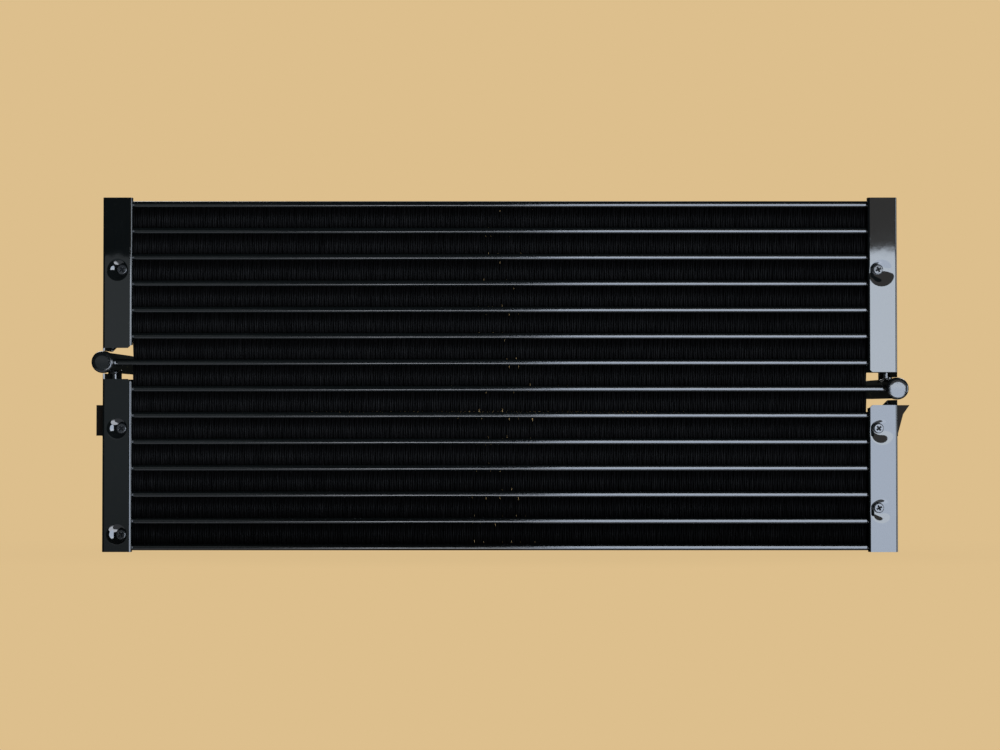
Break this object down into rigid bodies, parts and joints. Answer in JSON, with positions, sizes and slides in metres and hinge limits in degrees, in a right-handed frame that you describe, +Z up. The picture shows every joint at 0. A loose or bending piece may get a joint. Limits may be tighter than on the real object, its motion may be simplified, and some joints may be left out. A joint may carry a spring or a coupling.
{
  "type": "air conditioning condenser",
  "caption": "Wide flat air conditioning condenser: serpentine flat tubes with corrugated fins between folded side brackets, round headers and rear ports.",
  "frame": {"origin": "middle of the footprint, level with the bottom ends of the side brackets", "axes": "+X along the width, +Z up across the tubes, +Y from the air-inlet face to the back with the ports"},
  "size_m": [0.6564, 0.1186, 0.2811],
  "materials": {
    "tube_paint": "gloss black paint over aluminium tube",
    "fin_paint": "satin black paint over thin aluminium fins",
    "bracket_paint": "gloss black enamel over folded sheet",
    "pipe_paint": "gloss black paint over tube",
    "fitting_metal": "black paint over a turned fitting",
    "fastener_black": "black plated steel"
  },
  "bodies": {
    "root": {"bracket_nuts": "fastener_black", "bracket_screws": "fastener_black", "fin_row_01": "fin_paint", "fin_row_02": "fin_paint", "fin_row_03": "fin_paint", "fin_row_04": "fin_paint", "fin_row_05": "fin_paint", "fin_row_06": "fin_paint", "fin_row_07": "fin_paint", "fin_row_08": "fin_paint", "fin_row_09": "fin_paint", "fin_row_10": "fin_paint", "fin_row_11": "fin_paint", "fin_row_12": "fin_paint", "fin_row_13": "fin_paint", "inlet_fitting": "fitting_metal", "inlet_header": "pipe_paint", "inlet_header_cap": "pipe_paint", "left_link_pipe": "pipe_paint", "left_mounting_ear": "bracket_paint", "lower_back_plug": "pipe_paint", "lower_end_tube": "pipe_paint", "lower_flat_tube": "tube_paint", "lower_front_plug": "pipe_paint", "lower_left_bracket": "bracket_paint", "lower_right_bracket": "bracket_paint", "outlet_fitting": "fitting_metal", "outlet_header": "pipe_paint", "outlet_header_cap": "pipe_paint", "right_link_pipe": "pipe_paint", "right_mounting_ear": "bracket_paint", "upper_back_plug": "pipe_paint", "upper_end_tube": "pipe_paint", "upper_flat_tube": "tube_paint", "upper_front_plug": "pipe_paint", "upper_left_bracket": "bracket_paint", "upper_right_bracket": "bracket_paint"}
  },
  "joints": []
}
